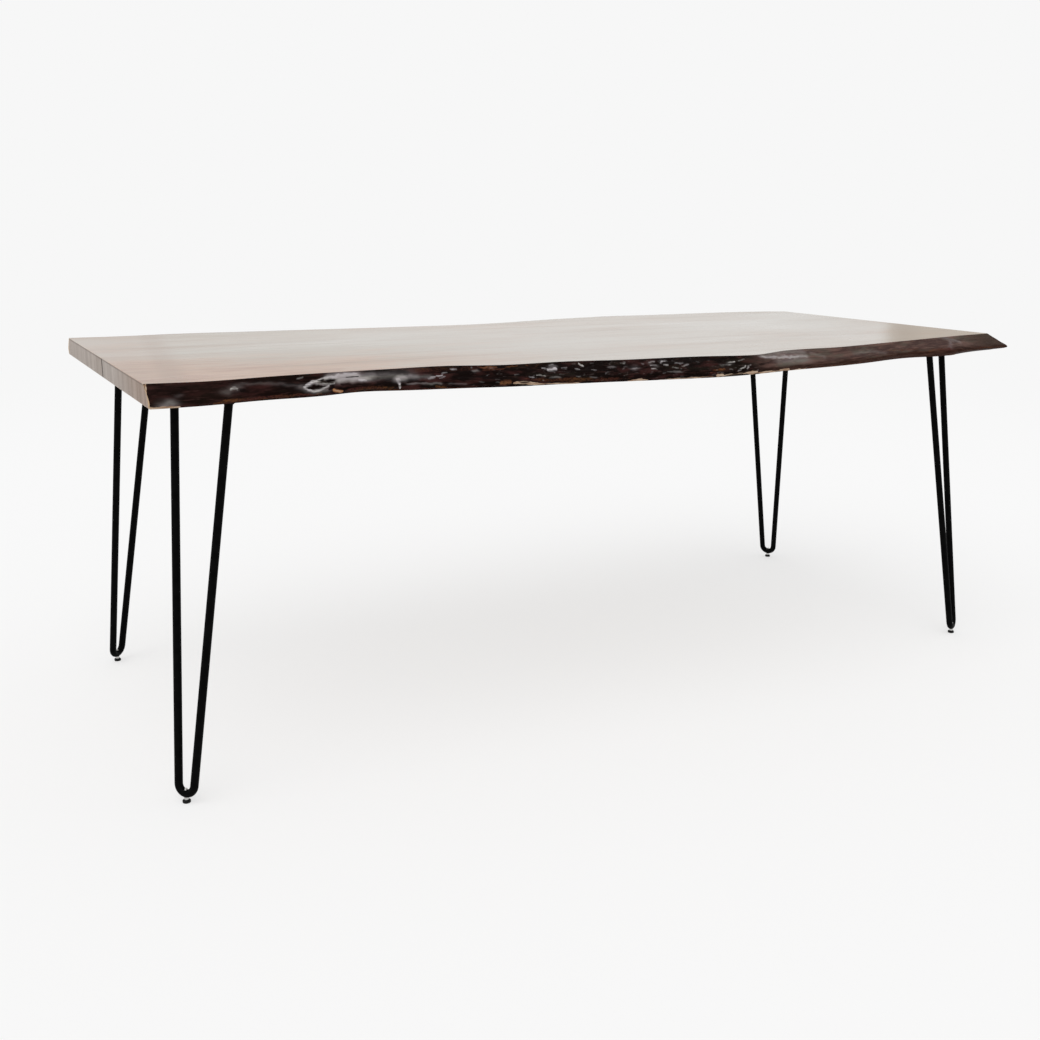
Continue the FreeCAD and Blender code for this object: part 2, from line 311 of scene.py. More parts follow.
# The tip at the right of the front edge is fuller than the CAD's slant: along x, at four levels
right_tip, tip_fullness = (0.90, 1.0), np.array([0, 0, 0.007, 0.009])[:, None]
# Rows over the top and the underside, as shares of the way to the glue line, and in a corner
inward = np.array([0, 0.004, 0.012, 0.03, 0.07, 0.15, 0.3, 0.5, 0.75, 1.0])[:, None, None]
corner_rows = 5


def soft_step(values, low, high):
    """0 below low, 1 above high, and a soft step between, on arrays."""
    t = np.clip((values - low) / (high - low), 0, 1)
    return t * t * (3 - 2 * t)


def section_point(y, z):
    """Points of the section from their y and z, either of which may be one number for all."""
    return np.stack(np.broadcast_arrays(y, z), axis=-1)


def curve_through(levels, values, at):
    """A smooth curve through values given at levels, read at other levels, for all stations."""
    slopes = np.gradient(values, levels, axis=0)
    cell = np.clip(np.searchsorted(levels, at) - 1, 0, len(levels) - 2)
    columns = np.arange(values.shape[1])[None, :]
    width = levels[cell + 1] - levels[cell]
    t = (at - levels[cell]) / width
    low, high = values[cell, columns], values[cell + 1, columns]
    rise, fall = slopes[cell, columns] * width, slopes[cell + 1, columns] * width
    return ((1 + 2 * t) * (1 - t) ** 2 * low + t * (1 - t) ** 2 * rise
            + t * t * (3 - 2 * t) * high + t * t * (t - 1) * fall)


def arc(start, corner, end, steps):
    """Points inside a rounded corner, from start to end."""
    t = (np.arange(steps) + 1)[:, None, None] / (steps + 1)
    return (1 - t) ** 2 * start + 2 * t * (1 - t) * corner + t ** 2 * end


def board_rings(node, side, stations, rows, top_round, under_round):
    """Rings of (y, z) points round a board, with the share of each row that is live edge."""
    heights, lines = edge_lines(node, side, stations)
    levels, lines = heights[::-1], lines[::-1]
    tip = soft_step(along(stations, side * edge_y), *right_tip) * (side < 0)
    lines = lines + side * tip * tip_fullness
    low = under_height + under_round
    high = top_height - top_round
    share = np.linspace(0, 1, rows)[:, None]
    z = low + share * (high - low)
    live = section_point(curve_through(levels, lines, z), z)
    under_corner = section_point(lines[0], under_height)
    top_corner = section_point(lines[-1], top_height)
    under_start = under_corner - section_point(side * under_round, 0)
    top_end = top_corner - section_point(side * top_round, 0)
    glue_low, glue_high = section_point(glue_line, under_height), section_point(glue_line, top_height)
    parts = [
        glue_low + (under_start - glue_low) * (1 - inward[::-1]),
        arc(under_start, under_corner, live[0], corner_rows),
        live,
        arc(live[-1], top_corner, top_end, corner_rows),
        top_end + (glue_high - top_end) * inward,
    ]
    ring = np.concatenate(parts)
    live_shares = (0, 0.5, 1, 0.5, 0)
    depth = np.concatenate([np.full(len(part), value) for part, value in zip(parts, live_shares)])
    return ring, depth


def outward(ring, side):
    """The direction out of a ring at each of its points."""
    run = np.roll(ring, -1, axis=0) - np.roll(ring, 1, axis=0)
    out = np.stack([run[..., 1], -run[..., 0]], axis=-1) * side
    return out / np.maximum(np.linalg.norm(out, axis=-1, keepdims=True), 1e-9)


print("ring maker ready")

# %% [markdown]
# The relief of the edge comes from two sources. Seeded noise, drawn out along the board, gives
# the fibres and cracks that cover it. The marks that stand out, such as the knot with its two
# eyes, the flecks of painted glint and the branch stub, are strokes: short lines in x and in the
# share of the height, each with a width, a strength and a lift. A stroke lifts or sinks the mesh,
# and it is kept as an attribute, which the material reads as its tint.

# %% Noise and strokes
noise_cells = 256
# A crisp stroke is thinner at its ends by this share, and fades between these shares of its
# half width. A haze stroke, of painted sheen, is drawn in along the board, and fades like a bell.
end_thinning, crisp_fade = 0.55, (0.25, 1.15)
sheen_squeeze, sheen_fall = 0.4, 1.2


def ripple(a, b, seed):
    """Smooth seeded noise from -1 to 1 over two arrays of coordinates."""
    table = np.random.default_rng(seed).uniform(-1, 1, (noise_cells, noise_cells))
    left, low = np.floor(a).astype(int), np.floor(b).astype(int)
    s, t = a - left, b - low
    s, t = s * s * (3 - 2 * s), t * t * (3 - 2 * t)

    def pick(i, j):
        return table[(left + i) % noise_cells, (low + j) % noise_cells]

    return ((1 - s) * (1 - t) * pick(0, 0) + s * (1 - t) * pick(1, 0)
            + (1 - s) * t * pick(0, 1) + s * t * pick(1, 1))


def stroke_mask(x, share, points, half_width, soft):
    """1 on a line through points given in metres and share of height, fading out at half_width."""
    nearest = np.full(x.shape, 1e9)
    ends = (points[0][0], points[-1][0])
    middle, reach = sum(ends) / 2, abs(ends[1] - ends[0]) / 2 + half_width
    taper = 1 - end_thinning * np.clip(np.abs(x - middle) / reach, 0, 1) ** 2
    squeeze = sheen_squeeze if soft else 1.0
    for (x0, s0), (x1, s1) in zip(points, points[1:]):
        run = np.array([(x1 - x0) * squeeze, (s1 - s0) * thickness])
        from_start = (x - x0) * squeeze, (share - s0) * thickness
        t = np.clip((from_start[0] * run[0] + from_start[1] * run[1]) / (run @ run), 0, 1)
        gap = np.hypot(from_start[0] - t * run[0], from_start[1] - t * run[1])
        nearest = np.minimum(nearest, gap)
    if soft:
        return np.exp(-sheen_fall * (nearest / half_width) ** 2)
    return 1 - soft_step(nearest / (half_width * taper), *crisp_fade)


print("noise and strokes ready")

# %% [markdown]
# The marks of the front edge are set group by group, from the left end to the right.
# They could be painted by hand, but strokes stay sharp at any distance, give the mesh its
# relief too, and can be moved by changing a number. A stroke is a row: its tint, its lift and
# half width in millimetres, its strength, and its points. A point is an x in millimetres along
# the table and a height in hundredths of the board's thickness.

# %% The marks of the front edge
# The pale and haze tints are painted light: pale marks are painted glints, haze marks painted sheen.
tints = ("pale", "haze", "cream", "rust", "dark")
front_marks = []


def strokes(rows):
    """Marks from rows of text, in metres and shares."""
    marks = []
    for row in rows.strip().splitlines():
        tint, lift, half_width, strength, *points = row.split()
        pairs = [point.split(",") for point in points]
        points = [(float(x) / 1000, float(height) / 100) for x, height in pairs]
        marks.append((tint, float(lift), float(half_width), float(strength), points))
    return marks


# The left end: a pale lip, a lobe of painted sheen, the nub with its hollow, and the ridge up to the knot
# with a painted highlight along it
front_marks += strokes("""
cream 0.6 4.6 0.9 -1020,4 -990,5 -960,1
cream 0.1 2.4 0.8 -1022,5 -1011.5,50 -1006.5,105
haze 0.6 5.0 0.34 -986,16 -979,26 -974,20
haze 0.1 2.4 0.07 -964,48 -958,52
haze 1.2 4.4 0.13 -882,54 -872,60 -858,72
pale 0.4 2.6 0.62 -872,61 -864,64 -860,62
dark -0.8 3.6 0.7 -855,57 -846,55
haze 0.8 2.4 0.085 -850,80 -815,77 -780,67 -750,54
dark -0.6 6.0 0.3 -838,54 -800,50 -765,42
dark -0.4 4.0 0.55 -812,93 -780,90 -750,93
cream 0.0 1.1 0.3 -788,89 -776,87
pale 0.1 1.5 0.3 -747,83 -735,86
rust 0.2 4.0 0.62 -886,18 -862,18
rust 0.1 4.6 0.5 -905,8 -850,13 -780,15 -705,14
""")
# The knot: its rim and the bridge between its eyes with painted highlights, the eyes, the field of painted
# sheen behind it, and rust
front_marks += strokes("""
haze 0.0 3.6 0.26 -745,50 -734,34 -716,24 -700,30
haze 0.4 5.0 0.95 -680,80 -656,82 -636,80
haze 0.4 5.0 0.85 -668,66 -640,68 -618,66
haze 0.3 6.0 0.52 -630,74 -608,74
haze 0.2 6.5 0.22 -605,72 -565,74
pale 1.4 3.1 0.95 -741.5,45 -735,54 -722,64 -704,75 -668,86
pale 1.0 2.7 0.85 -741.5,44 -735,36 -724,30 -711,31 -700,39 -692,52
haze 0.0 2.4 0.45 -738,40 -722,31 -704,34
pale 0.8 1.9 0.75 -723,60 -708,58 -697,54 -682,57
pale 0.3 2.2 0.95 -634,60 -618,56
pale 0.2 2.0 0.8 -658,90 -634,88
dark -3.0 3.4 0.9 -734,44 -722,48 -712,52
dark -1.0 1.5 0.8 -703,50 -699,50
dark -1.4 1.6 0.9 -713,71 -699,70
dark -2.4 2.5 1.0 -693,70 -678,70
dark -0.9 1.4 0.9 -655,75 -643,76 -632,76
dark -0.6 4.0 0.8 -694,32 -683,42
dark -0.5 3.2 0.65 -668,46 -636,41 -612,40
dark -0.5 5.0 0.6 -600,47 -584,40 -576,28
rust 0.5 5.2 1.15 -684,27 -678,20 -668,11
cream 0.1 2.4 0.58 -682,26 -676,18 -670,13
rust 0.1 6.0 0.46 -655,20 -610,22 -570,16
rust 0.0 6.0 0.3 -520,86 -470,88 -400,86
rust 0.0 4.0 0.12 -960,70 -900,76
rust 0.0 4.0 0.4 -660,14 -630,10
""")
# The bright wedge and its streaks, painted as highlight and sheen, and the leaf-shaped hollow beside it
front_marks += strokes("""
haze 0.2 5.0 0.7 -556,62 -548,64
haze 0.9 4.2 0.95 -558,56 -548,62
pale 0.5 3.4 0.72 -562,50 -556,50
pale 0.4 3.0 0.9 -561,42 -558,36
pale 0.2 2.2 1.0 -559,36 -557,13
haze 0.2 4.6 0.46 -545,64 -526,62
haze 0.1 3.4 0.2 -520,62 -500,58
haze 0.1 6.0 0.09 -560,80 -530,78
pale 0.3 1.6 0.8 -502,53 -486,55
pale 0.2 1.4 0.7 -483,59 -470,64
pale 0.1 1.2 0.5 -478,52 -466,55
pale 0.1 1.2 0.35 -470,70 -460,73
dark -1.4 3.2 0.55 -546,40 -530,45 -512,40
haze 0.2 1.5 0.26 -545,35 -515,33 -480,29
rust 0.2 3.0 0.6 -492,15 -470,12
rust 0.1 2.2 0.45 -640,4 -560,3 -420,6
haze 0.0 1.4 0.16 -466,27 -436,25
""")
# The rusty stretch and the pale lip under it
front_marks += strokes("""
rust 0.4 3.0 0.7 -398,93 -380,90 -362,90
rust 0.3 1.8 0.6 -392,82 -366,80 -340,90 -322,95
rust 0.2 7.0 0.72 -368,24 -352,26
rust 0.0 5.0 0.42 -320,36 -260,28 -200,22 -120,20
cream 0.8 4.0 1.0 -345,22 -325,18 -300,12 -278,9
cream 0.4 2.4 1.0 -278,10 -245,7 -205,4
rust 0.4 1.5 0.55 -303,95 -294,86 -282,88 -276,96
rust 0.0 2.6 0.4 -240,16 -140,14 -100,16
""")
# Small flecks of painted glint and painted sheen
front_marks += strokes("""
pale 0.2 1.4 0.5 -450,87 -438,87
haze 0.2 1.2 0.3 -410,78 -400,78
pale 0.8 2.7 1.15 -264,74 -252,73 -243,74
pale 0.3 1.4 0.6 -274,79 -263,77
pale 0.2 1.3 0.4 -257,89 -244,88
haze 0.0 2.2 0.28 -256,82 -244,82
pale 0.3 1.4 0.6 -292,51 -276,49
pale 0.2 1.3 0.4 -310,44 -300,43
haze 0.3 1.5 0.4 -264,38 -252,37
pale 0.3 1.5 0.5 -232,78 -221,76
pale 0.5 1.9 0.95 -190,87 -184,81
pale 0.2 1.2 0.5 -204,71 -196,69
pale 0.3 1.3 0.55 -172,62 -163,61
haze 0.2 1.4 0.28 -136,68 -124,71
pale 0.2 1.2 0.4 -214,38 -206,37
haze 0.2 1.2 0.26 -184,31 -176,30
haze 0.2 3.0 0.45 -86,63 -80,66
pale 0.6 2.0 1.0 -87,63 -78,66
pale 0.2 1.2 0.3 -106,86 -94,90
pale 0.4 1.2 0.6 -45,86 -30,89
haze 0.2 2.8 0.2 -42,80 -36,70
pale 0.4 1.3 0.6 -47,73 -34,72
pale 0.4 1.3 0.75 -50,56 -38,57
pale 0.5 1.4 0.9 -20,82 -2,88
pale 0.3 1.3 0.5 -18,73 -8,71
pale 0.3 1.4 0.4 8,72 28,77
pale 0.3 1.2 0.35 -6,57 8,55
haze 0.3 1.4 0.3 -10,39 8,40
pale 0.3 1.2 0.35 20,62 38,68
haze 0.2 2.0 0.26 112,60 134,70
pale 0.7 1.9 0.95 114,62 127,66 142,73
pale 0.3 1.2 0.3 150,78 166,84
pale 0.3 1.2 0.45 140,28 150,33
pale 0.4 1.3 0.7 148,37 157,43
pale 0.4 1.4 0.75 155,42 165,50
pale 0.4 1.2 0.6 162,37 171,45
pale 0.3 1.2 0.5 169,47 177,54
rust 0.3 3.6 0.66 72,30 90,36 110,40
""")
# The broken pale lip along the under edge
front_marks += strokes("""
cream 0.4 3.2 0.9 -104,3 -80,8 -64,6
cream 0.1 2.6 0.7 -40,2 10,5 80,5
cream 0.5 3.8 1.1 89,12 104,10
cream 0.4 3.4 1.0 104,7 140,10 165,13
cream 0.8 5.4 1.1 168,14 192,13
cream 0.4 3.4 1.0 190,8 240,9 262,8
cream 0.5 4.2 1.0 262,14 292,8
cream 0.1 2.2 0.8 292,4 345,2
rust 0.0 2.4 0.5 290,4 450,3 620,3
""")
# The eased stretch of arris, its shine painted on as highlight and sheen
front_marks += strokes("""
haze 0.0 3.0 0.6 214,93 240,84 270,77 310,71 350,66
pale 0.0 2.6 0.42 214,92 242,83 276,77 330,69
haze 0.0 6.0 0.2 262,62 345,50
haze 0.0 5.0 0.26 222,102 262,98 350,90
""")
# Colour in the smooth stretch, with faint painted sheen
front_marks += strokes("""
rust 0.0 3.4 0.4 612,60 660,56 730,53
rust 0.1 4.4 0.46 752,40 800,44 832,40
haze 0.0 3.0 0.12 372,80 400,60
haze 0.0 3.4 0.12 500,62 560,66 600,50
""")
# The branch stub with painted sheen on it, and the bump that hangs under it
front_marks += strokes("""
haze 1.6 3.6 0.22 842,94 854,84 878,70
haze 0.9 2.4 0.2 850,80 842,62 826,48
rust 1.2 3.0 0.5 840,62 826,46 805,32
rust 1.6 5.0 0.6 822,2 850,2
dark -1.4 5.0 0.35 866,42 905,36
rust 0.3 3.0 0.45 920,36 975,30
""")
print(len(front_marks), "strokes on the front edge")

# %% [markdown]
# All the new pieces but the beads are grids of points: rings, one after another, with a cap on
# each of the two ends. One function makes the mesh from such a grid. Another shades it smooth
# and keeps its sharp arrises.

# %% Meshes from rings of points
def closed_mesh(name, grid, order=1):
    """A mesh over rings of points, closed at both ends. An order of -1 turns its faces over."""
    rows, columns = grid.shape[:2]
    i, j = np.meshgrid(np.arange(rows - 1), np.arange(columns), indexing="ij")
    a, b = i * columns + j, i * columns + (j + 1) % columns
    faces = np.stack([a, b, b + columns, a + columns], axis=-1).reshape(-1, 4).tolist()
    ends = [list(range(columns))[::-1], list(range((rows - 1) * columns, rows * columns))]
    mesh = bpy.data.meshes.new(name)
    mesh.from_pydata(grid.reshape(-1, 3).tolist(), [], [face[::order] for face in faces + ends])
    return mesh


def smooth_with_arrises(mesh, degrees):
    """Shade a mesh smooth, but keep arrises sharper than an angle."""
    mesh.polygons.foreach_set("use_smooth", [True] * len(mesh.polygons))
    mesh.set_sharp_from_angle(angle=math.radians(degrees))


print("mesh makers ready")

# %% [markdown]
# The relief of an edge is in millimetres. Streaks and slow lumps cover it. Cracks sink into the
# rough stretch, from the bright wedge to the eased arris, and only darken the rest. Noise also
# moves the outline of each stroke to and fro, so that it looks ragged, and not drawn.

# %% The relief of an edge
# Layers of noise: how much, waves in a metre along the edge, waves up its height
streaks, lumps = ((0.55, 22, 7), (0.3, 70, 16)), ((0.8, 7, 1.4),)
wander_along, wander_up = ((0.0022, 75, 5), (0.001, 190, 14)), ((0.035, 90, 6), (0.015, 210, 16))
crack_waves, crack_shift, crack_limits, crack_depth = (34, 9), 9, (0.25, 0.75), 1.6
# The rough stretch begins and ends softly between these places. Elsewhere it is this calm.
rough_from, rough_to, calm = (-0.50, -0.42), (0.16, 0.28), 0.35
calm_streaks, crack_tint = 0.25, 0.7


def noise_layers(x, share, layers, seed):
    """Layers of noise, each with a seed of its own."""
    return [size * ripple(x * waves, share * waves_up, seed + place)
            for place, (size, waves, waves_up) in enumerate(layers)]


def relief_of(x, share, marks, seed):
    """Lift in metres and the tint masks over a live edge."""
    rough = soft_step(x, *rough_from) * (1 - soft_step(x, *rough_to))
    broken = calm + (1 - calm) * rough
    crack_noise = ripple(x * crack_waves[0] + crack_shift, share * crack_waves[1], seed + 3)
    crack = soft_step(crack_noise, *crack_limits)
    long_streak = sum(noise_layers(x, share, streaks, seed))
    lump = sum(noise_layers(x, share, lumps, seed + 2))
    streak_share = calm_streaks + (1 - calm_streaks) * broken
    lift = long_streak * streak_share + lump - crack_depth * crack * (broken - calm)
    masks = {tint: np.zeros(x.shape) for tint in tints}
    masks["dark"] += crack_tint * crack * broken
    moved_x = sum(noise_layers(x, share, wander_along, seed + 4), x)
    moved_share = sum(noise_layers(x, share, wander_up, seed + 6), share)
    for tint, rise, half_width, strength, points in marks:
        # Haze strokes, of painted sheen, fade softly.
        mask = stroke_mask(moved_x, moved_share, points, half_width / 1000, tint == "haze")
        masks[tint] = np.maximum(masks[tint], mask * strength)
        lift = lift + rise * mask
    return lift / 1000, masks


print("relief ready for the tints", tints)

# %% [markdown]
# With rings and relief in hand, a board is made in one go. The relief moves each point of the
# live edge along the outward direction of its ring, and fades out at the arris and the under
# edge, so that the outline of the table stays as the CAD has it. The faces get one of three
# finishes: planed top, live edge, or end grain.

# %% Make a board
top_place, live_place, end_place = range(3)
# The rings stand closer together up to fine_end, and wider in the smooth stretch to its right
fine_end, smooth_step = 0.36, 3.0e-3
# The first rings from a saw cut, in metres from it, and how much the sawn arris shrinks them
cut_eases, arris_gaps = np.array([0.0, 0.25, 0.6, 1.2]) * 1e-3, (1.2e-3, 0.55e-3, 0.15e-3)
arris_round, eased_round, under_round = 1.6e-3, 8e-3, 1.2e-3
eased_from, eased_to = (0.14, 0.26), (0.36, 0.48)
# A face is live edge where its two rows add up to this share, and the arris is at this height
live_limit, arris_share, arris_degrees = 0.4, 0.97, 50


def ring_stations(fine_step):
    """Where the rings stand: close at the saw cuts, then fine_step and smooth_step apart."""
    length = along(1, 0) - along(0, 0)
    ease = cut_eases / length
    turn_over = (fine_end - along(0, 0)) / length
    fine_count = int(turn_over * length / fine_step)
    smooth_count = int((1 - turn_over) * length / smooth_step)
    return np.concatenate([
        ease[:-1],
        np.linspace(ease[-1], turn_over, fine_count, endpoint=False),
        np.linspace(turn_over, 1 - ease[-1], smooth_count),
        1 - ease[-2::-1],
    ])


def make_board(name, node, side, fine_step, rows, marks, seed):
    """Loft a board from its rings, with relief and tints on its live edge."""
    stations = ring_stations(fine_step)
    middle_x = along(stations, side * edge_y)
    eased = soft_step(middle_x, *eased_from) * (1 - soft_step(middle_x, *eased_to)) * (side < 0)
    top_round = arris_round + eased_round * eased
    ring, depth = board_rings(node, side, stations, rows, top_round, under_round)
    out = outward(ring, side)
    share = (ring[..., 1] - under_height) / thickness
    lift, masks = relief_of(along(stations, ring[..., 0]), share, marks, seed)
    ring = ring + out * (lift * depth[:, None])[..., None]
    ring[..., 1] = np.clip(ring[..., 1], under_height, top_height)
    for index, gap in enumerate(arris_gaps):
        for place in (index, -1 - index):
            ring[:, place] -= out[:, place] * gap
    grid = np.stack([along(stations, ring[..., 0]), ring[..., 0], ring[..., 1]], axis=-1)
    mesh = closed_mesh(name, grid.transpose(1, 0, 2), -side)
    live = np.tile(depth + np.roll(depth, -1) > live_limit, len(stations) - 1)
    places = np.concatenate([np.where(live, live_place, top_place), [end_place, end_place]])
    mesh.polygons.foreach_set("material_index", places.astype(np.int32))
    masks["height_share"] = share
    from_glue = np.abs(ring[..., 0] - glue_line)
    arris_row = np.argmin(np.abs(share - arris_share) + (depth[:, None] == 0), axis=0)
    at_arris = from_glue[arris_row, np.arange(len(stations))]
    masks["out_arris"] = np.broadcast_to(at_arris, share.shape)
    masks["out_nose"] = np.broadcast_to(from_glue.max(axis=0), share.shape)
    for tint, mask in masks.items():
        values = mask.T.reshape(-1)
        mesh.attributes.new(tint, "FLOAT", "POINT").data.foreach_set("value", values.astype(np.float32))
    smooth_with_arrises(mesh, arris_degrees)
    piece = new_object(name, mesh)
    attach(piece, "root")
    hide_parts(node)
    print(name, len(mesh.vertices), "points", len(mesh.polygons), "faces")
    return piece


print("board maker ready")

# %% [markdown]
# The front edge gets its strokes and some small flecks of painted glint. The photograph doesn't
# show the face of the back edge, so that one repeats groups of the front's marks, mirrored or
# moved along, with more such flecks between them. It has wider steps, because it has less to
# show.

# %% The two boards
def between(low, high, kinds=tints):
    """The front's marks that begin between two places along the edge, of some kinds."""
    return [mark for mark in front_marks if low < mark[4][0][0] < high and mark[0] in kinds]


def moved(marks, shift, flip=1):
    """Marks taken to another place along the edge, and mirrored where flip is -1."""
    return [(tint, rise, half_width, strength, [(flip * x + shift, share) for x, share in points])
            for tint, rise, half_width, strength, points in marks]


def glint_flecks(count, low, high, boldest, seed):
    """Small flecks of painted glint strewn over a stretch of the edge, each with a slant of its own."""
    dice = np.random.default_rng(seed)
    marks = []
    for _ in range(count):
        x, share = dice.uniform(low, high), dice.uniform(0.12, 0.94)
        length, slant = dice.uniform(0.002, 0.011), dice.uniform(-0.15, 0.4)
        end = (x + length, share + slant * length / thickness)
        half_width, strength = dice.uniform(0.7, 1.5), dice.uniform(0.05, boldest)
        marks.append(("pale", 0.2, half_width, strength, [(x, share), end]))
    return marks


front_marks += glint_flecks(55, -0.42, 0.21, boldest=0.22, seed=5)
back_marks = (
    glint_flecks(150, -0.98, 0.30, boldest=0.45, seed=8)
    + moved(between(-0.75, -0.57), -0.42, -1)
    + moved(between(-0.57, -0.44), -0.98, -1)
    + moved(between(-0.35, 0.30, ("cream",)), -0.50)
    + moved(between(0.08, 0.30, ("pale", "cream", "rust", "dark")), -0.86)
    + moved(between(0.80, 1.10), -0.28)
)
boards = [
    make_board("front_board_live", "front_board", -1, fine_step=1.2e-3, rows=30, marks=front_marks, seed=11),
    make_board("back_board_live", "back_board", 1, fine_step=1.8e-3, rows=26, marks=back_marks, seed=23),
]
print(len(front_marks), "marks on the front edge,", len(back_marks), "on the back edge")

# %% [markdown]
# The CAD stud of a levelling foot has a plain shank. The real one has an M6 thread, which shows
# where its tip stands out of the bend and when the foot is wound down. A thread is a turned
# shape whose radius also depends on the angle: one pitch of rise for each turn, anticlockwise
# for a right hand thread. So the stud is a grid of angles and heights, closed at both ends, and
# everything below the thread is the CAD profile with its arrises broken.

# %% The threaded studs
corner_names = ("front_left", "back_left", "back_right", "front_right")
thread_radius, thread_pitch, thread_depth = 3.0e-3, 1.0e-3, 0.58e-3
thread_start, thread_end, tip_chamfer = 11.0e-3, 27.8e-3, 0.8e-3
# The flanks of the thread, its flat valley, the length over which it runs out, and a small inset
flank, valley, runout_length, tip_inset = 1.25, 0.12, 6e-4, 0.2e-3
stud_sides, rings_each_turn, first_ring = 36, 10, 1e-4
# Radius and height of the collar and the neck, in millimetres
stud_profile = np.array([
    (2.9, 2.6), (3.2, 2.9), (3.2, 4.6), (2.2, 4.6), (2.2, 6.0),
    (4.05, 6.0), (4.3, 6.25), (4.3, 10.75), (4.05, 11.0), (2.7, 11.0),
]) / 1000


def turned_grid(name, radii, heights, centre):
    """A turned piece from radii and heights on a grid of rows and angles, around a centre."""
    angles = full_turn(radii.shape[1])
    x, y = centre.x + radii * np.cos(angles), centre.y + radii * np.sin(angles)
    piece = new_object(name, closed_mesh(name, np.stack([x, y, heights], axis=-1)))
    smooth_with_arrises(piece.data, degrees=35)
    return piece


def threaded_stud(corner):
    """The stud of one foot, with its thread, riding with the stud's body."""
    low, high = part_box(corner + "_foot_stud")
    turns = np.arange(stud_sides) / stud_sides
    z = np.arange(thread_start + first_ring, thread_end, thread_pitch / rings_each_turn)[:, None]
    place = (z / thread_pitch - turns) % 1
    ridge = np.clip(np.abs(2 * place - 1) * flank - valley, 0, 1)
    runout = soft_step(z, thread_start, thread_start + runout_length)
    radii = thread_radius - thread_depth * (1 - ridge * runout)
    radii = np.minimum(radii, thread_radius - tip_chamfer + thread_end - z)
    shank = np.repeat(stud_profile[:, :1], stud_sides, axis=1)
    tip = np.full((1, stud_sides), thread_radius - tip_chamfer - tip_inset)
    all_radii = np.concatenate([shank, radii, tip])
    rise = np.concatenate([stud_profile[:, 1:], z, [[thread_end]]])
    heights = np.broadcast_to(rise, all_radii.shape)
    piece = turned_grid(corner + "_threaded_stud", all_radii, heights, (low + high) / 2)
    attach(piece, corner + "_stud")
    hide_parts(corner + "_foot_stud")
    return piece


studs = [threaded_stud(corner) for corner in corner_names]
print([(stud.name, len(stud.data.polygons)) for stud in studs])

# %% [markdown]
# Each leg is one bar, bent over a round former into a hairpin. It could be a curve with a bevel,
# but the bar is drilled through the bend, with a flat face for the foot's collar, and a mesh
# can be cut. So rings are swept along the centre line: straight, round the bend, straight
# again. Two cylinders then cut the flat and the hole. The sizes are those of the CAD bar.

# %% The bent bars
leg_headings = {"front_left": 38.8, "back_left": -44.9, "back_right": -150.2, "front_right": 119.7}
bar_radius, bend_radius, into_plate = 7.5e-3, 17.5e-3, 1.3e-3
bar_splay, half_spread = 107.5e-3, 58.25e-3
bend_height, bar_top = 17.7e-3, 719e-3
bar_sides, bend_rings = 48, 57
# The flat for the collar and the hole for the stud: radius, low end, high end
foot_cuts = ((4.9e-3, -0.01, 11e-3), (3.08e-3, 5e-3, 0.05))
lean_length = math.hypot(bar_splay, bar_top - bend_height)
lean_rise = lean_length - bend_radius
flare = math.acos(bend_radius / math.hypot(half_spread, lean_rise)) - math.atan2(lean_rise, half_spread)


def leg_axes(corner):
    """The foot's place on the floor, and the level directions of the leg's lean and its side."""
    foot = sum(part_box(corner + "_foot_glide"), Vector()) / 2
    heading = math.radians(leg_headings[corner])
    level = Vector((math.cos(heading), math.sin(heading), 0))
    side = Vector((-math.sin(heading), math.cos(heading), 0))
    return Vector((foot.x, foot.y, 0)), level, side


def cut_with_cylinder(piece, centre, radius, low, high):
    """Take an upright cylinder out of a piece."""
    heights = np.repeat([[low], [high]], bar_sides, axis=1)
    cutter = turned_grid("cutter", np.full((2, bar_sides), radius), heights, centre)
    drill = piece.modifiers.new("drill", "BOOLEAN")
    drill.object, drill.operation, drill.solver = cutter, "DIFFERENCE", "EXACT"
    cut = bpy.data.meshes.new_from_object(piece.evaluated_get(bpy.context.evaluated_depsgraph_get()))
    piece.modifiers.clear()
    piece.data = cut
    bpy.data.objects.remove(cutter)


def bent_bar(corner):
    """The hairpin bar of one leg, drilled for its foot."""
    foot, level, side = leg_axes(corner)
    lean = (level * bar_splay + Vector((0, 0, bar_top - bend_height))) / lean_length
    bend = np.linspace(flare - math.pi / 2, math.pi / 2 - flare, bend_rings)
    line = np.stack([np.sin(bend), 1 - np.cos(bend)], axis=-1) * bend_radius
    run = np.stack([np.cos(bend), np.sin(bend)], axis=-1)
    top = np.array([half_spread, lean_length]) + run[-1] * into_plate
    line = np.concatenate([[top * (-1, 1)], line, [top]])
    run = np.concatenate([run[:1], run, run[-1:]])
    angles = full_turn(bar_sides)[None, :, None]
    side, lean, flat = (np.array(axis) for axis in (side, lean, side.cross(lean)))
    centres = np.array(foot) + (0, 0, bend_height) + line[:, :1] * side + line[:, 1:] * lean
    across = run[:, :1] * lean - run[:, 1:] * side
    rings = centres[:, None] + bar_radius * (np.cos(angles) * flat + np.sin(angles) * across[:, None])
    name = corner + "_bent_bar"
    piece = new_object(name, closed_mesh(name, rings))
    for radius, low, high in foot_cuts:
        cut_with_cylinder(piece, foot, radius, low, high)
    smooth_with_arrises(piece.data, degrees=40)
    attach(piece, "root")
    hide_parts(corner + "_leg_rod")
    return piece


bars = [bent_bar(corner) for corner in corner_names]
print([(bar.name, len(bar.data.polygons)) for bar in bars])

# %% [markdown]
# Each bar is welded to its plate all round. A bead laid by hand is a row of overlapping
# ripples, so a thin ring lies in each corner between bar and plate. It is a swept circle whose
# size swells a little at every ripple.

# %% The weld beads
bead_size, bead_drop, bead_rings, bead_sides = 1.75e-3, 0.3e-3, 132, 12
ripple_size, ripple_count, ripple_roundness, ripple_swing = 0.25e-3, 22, 0.6, 0.5
first_seed = 31


